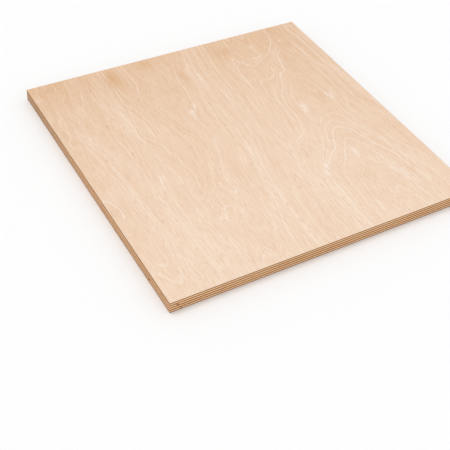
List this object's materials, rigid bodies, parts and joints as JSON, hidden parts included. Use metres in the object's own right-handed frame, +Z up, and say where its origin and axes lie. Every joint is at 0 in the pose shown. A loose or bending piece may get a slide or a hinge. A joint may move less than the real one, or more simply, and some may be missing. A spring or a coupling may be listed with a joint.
{
  "type": "plywood sheet",
  "caption": "Square birch plywood sheet lying flat: cross-laminated veneers glued face to face, sanded faces and bare trimmed edges.",
  "frame": {"origin": "centre of the underside of the sheet", "axes": "+Z up through the thickness, out of the face; +Y along the grain of the face, towards the back edge; +X across the grain of the face, towards the right edge"},
  "size_m": [0.33, 0.33, 0.012],
  "materials": {
    "birch_face": "matte",
    "birch_back": "matte",
    "birch_crossband": "matte",
    "birch_long_band": "matte"
  },
  "bodies": {
    "root": {"back_veneer": "birch_back", "crossband_1": "birch_crossband", "long_band_1": "birch_long_band", "crossband_2": "birch_crossband", "long_band_2": "birch_long_band", "crossband_3": "birch_crossband", "long_band_3": "birch_long_band", "crossband_4": "birch_crossband", "face_veneer": "birch_face"}
  },
  "joints": []
}
